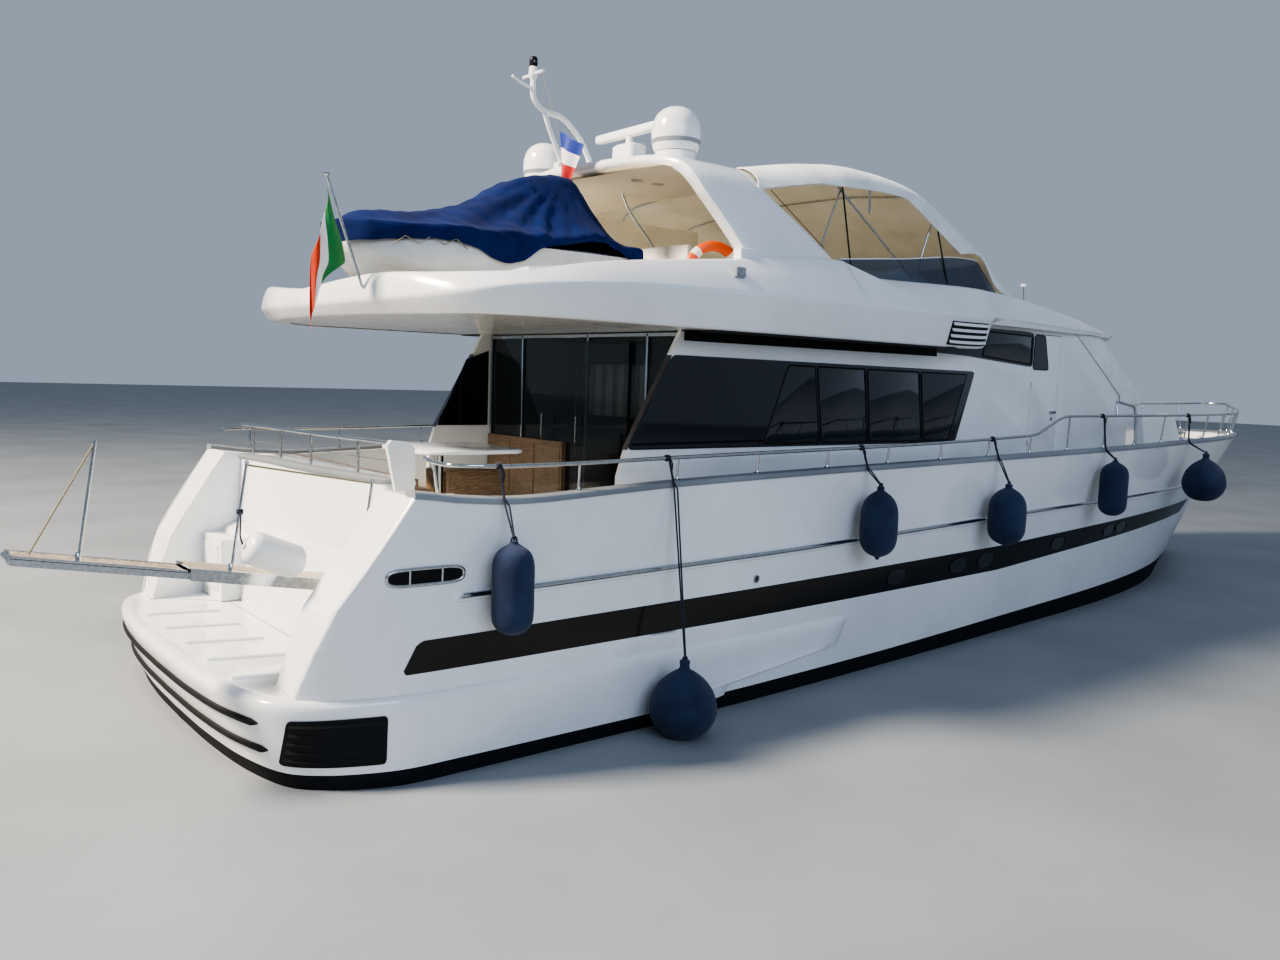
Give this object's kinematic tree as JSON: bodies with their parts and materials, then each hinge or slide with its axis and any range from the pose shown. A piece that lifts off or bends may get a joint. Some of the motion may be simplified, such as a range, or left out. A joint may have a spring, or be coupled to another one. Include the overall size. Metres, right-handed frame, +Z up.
{
  "type": "flybridge motor yacht",
  "caption": "Planing-hulled motor yacht with a flybridge, radar arch, canopy, covered tender, bathing platform, telescopic gangway, rails and hanging fenders.",
  "frame": {"origin": "amidships on the centreline at the waterline", "axes": "+X to the bow, +Y to port, +Z up"},
  "size_m": [23.86, 6.0336, 8.31],
  "materials": {
    "gelcoat": "glossy white glass-fibre gelcoat",
    "cap_grey": "satin light grey moulding",
    "smoked_glass": "dark smoked glass",
    "clear_glass": "tinted glass",
    "steel": "polished stainless steel",
    "canvas": "white woven acrylic canvas",
    "blue_canvas": "royal blue woven canvas",
    "tube": "light grey coated fabric tube",
    "fender_cover": "dark navy fleece cover",
    "bronze": "cast bronze",
    "wood": "varnished hardwood",
    "flag_cloth": "knitted flag cloth",
    "black_plastic": "black plastic"
  },
  "bodies": {
    "yacht": {"hull": "gelcoat", "topside_starboard": "gelcoat", "topside_port": "gelcoat", "bow_deck": "gelcoat", "swim_platform": "gelcoat", "cap_rail": "cap_grey", "transom": "gelcoat", "transom_rail": "steel", "rail_starboard": "steel", "rail_port": "steel", "pulpit": "steel", "deckhouse_starboard": "gelcoat", "deckhouse_port": "gelcoat", "deckhouse_front": "gelcoat", "windscreen": "smoked_glass", "windscreen_cover": "canvas", "flybridge": "gelcoat", "saloon_glazing_starboard": "smoked_glass", "saloon_glazing_port": "smoked_glass", "wheelhouse_glazing_starboard": "smoked_glass", "wheelhouse_glazing_port": "smoked_glass", "aft_bulkhead": "smoked_glass", "fly_windscreen": "clear_glass", "arch": "gelcoat", "dome_starboard": "gelcoat", "dome_port": "gelcoat", "mast": "gelcoat", "canopy": "canvas", "tender_hull": "tube", "tender_cover": "blue_canvas", "ensign_staff": "steel", "ensign": "flag_cloth", "cockpit_table": "gelcoat", "cockpit_settee": "wood", "fender_1": "fender_cover", "fender_2": "fender_cover", "fender_3": "fender_cover", "fender_4": "fender_cover", "fender_5": "fender_cover", "fender_6": "fender_cover"},
    "radar_antenna_body": {"radar_antenna": "gelcoat"},
    "helm_wheel_body": {"helm_wheel": "black_plastic"},
    "side_door_starboard_body": {"side_door_starboard": "gelcoat"},
    "side_door_port_body": {"side_door_port": "gelcoat"},
    "saloon_door_body": {"saloon_door": "smoked_glass"},
    "passerelle_body": {"passerelle": "steel", "fender_7": "fender_cover"},
    "passerelle_slide_body": {"passerelle_slide": "steel"},
    "propeller_starboard_body": {"propeller_starboard": "bronze"},
    "propeller_port_body": {"propeller_port": "bronze"},
    "rudder_starboard_body": {"rudder_starboard": "bronze"},
    "rudder_port_body": {"rudder_port": "bronze"},
    "foredeck_hatch_body": {"foredeck_hatch": "smoked_glass"}
  },
  "joints": [
    {"name": "propeller_starboard_spin", "type": "hinge", "parent": "yacht", "child": "propeller_starboard_body", "pos_m": [-8.65, -1.15, -1.12], "axis": [1, 0, 0], "continuous": true},
    {"name": "propeller_port_spin", "type": "hinge", "parent": "yacht", "child": "propeller_port_body", "pos_m": [-8.65, 1.15, -1.12], "axis": [1, 0, 0], "continuous": true},
    {"name": "rudder_starboard_turn", "type": "hinge", "parent": "yacht", "child": "rudder_starboard_body", "pos_m": [-9.45, -1.15, -0.8], "axis": [0, 0, 1], "range_deg": [-35, 35]},
    {"name": "rudder_port_turn", "type": "hinge", "parent": "yacht", "child": "rudder_port_body", "pos_m": [-9.45, 1.15, -0.8], "axis": [0, 0, 1], "range_deg": [-35, 35]},
    {"name": "helm_wheel_turn", "type": "hinge", "parent": "yacht", "child": "helm_wheel_body", "pos_m": [-2.83, -0.9, 4.56], "axis": [-0.9659, 0, 0.2588], "range_deg": [-450, 450]},
    {"name": "radar_spin", "type": "hinge", "parent": "yacht", "child": "radar_antenna_body", "pos_m": [-5.87, 0, 6.15], "axis": [0, 0, 1], "continuous": true},
    {"name": "passerelle_lift", "type": "hinge", "parent": "yacht", "child": "passerelle_body", "pos_m": [-9.85, -1.375, 1.4], "axis": [0, 1, 0], "range_deg": [-12, 45]},
    {"name": "passerelle_extend", "type": "slide", "parent": "passerelle_body", "child": "passerelle_slide_body", "axis": [0.9845, 0, -0.1752], "range_m": [0, 0.7]},
    {"name": "saloon_door_slide", "type": "slide", "parent": "yacht", "child": "saloon_door_body", "axis": [0, 1, 0], "range_m": [0, 0.95]},
    {"name": "side_door_starboard_swing", "type": "hinge", "parent": "yacht", "child": "side_door_starboard_body", "pos_m": [-0.044, -2.0325, 3.25], "axis": [0, 0, -1], "range_deg": [0, 45]},
    {"name": "side_door_port_swing", "type": "hinge", "parent": "yacht", "child": "side_door_port_body", "pos_m": [-0.044, 2.0325, 3.25], "axis": [0, 0, 1], "range_deg": [0, 45]},
    {"name": "foredeck_hatch_lift", "type": "hinge", "parent": "yacht", "child": "foredeck_hatch_body", "pos_m": [7.985, 0, 2.35], "axis": [0, -1, 0], "range_deg": [0, 80]}
  ],
  "couplings": [
    {"joint": "rudder_port_turn", "follows": "rudder_starboard_turn", "ratio": 1},
    {"joint": "helm_wheel_turn", "follows": "rudder_starboard_turn", "ratio": 12.857}
  ]
}
